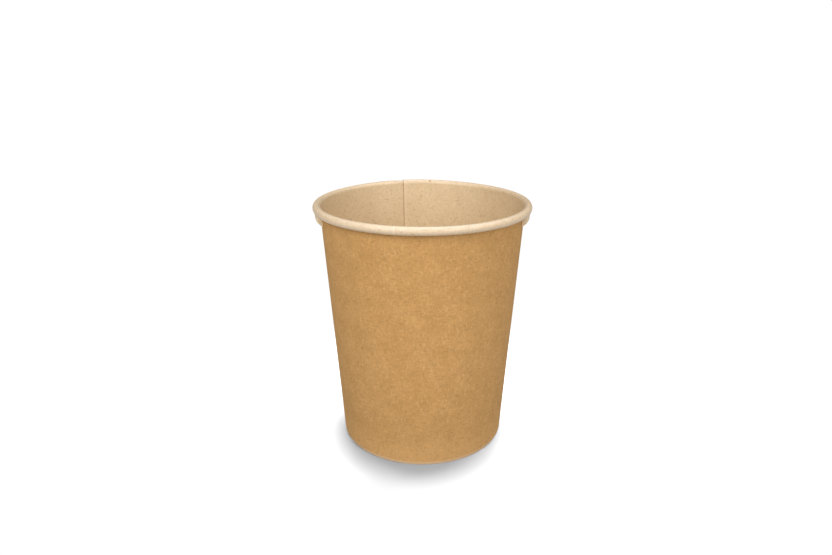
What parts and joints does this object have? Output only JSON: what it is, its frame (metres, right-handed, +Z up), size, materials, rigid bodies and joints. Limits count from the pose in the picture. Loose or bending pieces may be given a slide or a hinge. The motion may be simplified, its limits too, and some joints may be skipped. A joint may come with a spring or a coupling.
{
  "type": "paper coffee cup",
  "caption": "Straight-sided conical paper cup with a lapped side seam, a rolled rim, a turned-in hem and a recessed bottom disc. It stands open and empty.",
  "frame": {"origin": "on the table, at the middle of the base ring", "axes": "+Z up the cup's axis; -Y is the side seen in the picture; the side seam is at the back, a little to the left"},
  "size_m": [0.08, 0.08, 0.0923],
  "materials": {
    "wall_board": "uncoated kraft brown outside, pale buff inside and on the rim",
    "bottom_board": "pale buff, matt"
  },
  "bodies": {
    "root": {"side_wall": "wall_board", "bottom_disc": "bottom_board"}
  },
  "joints": []
}
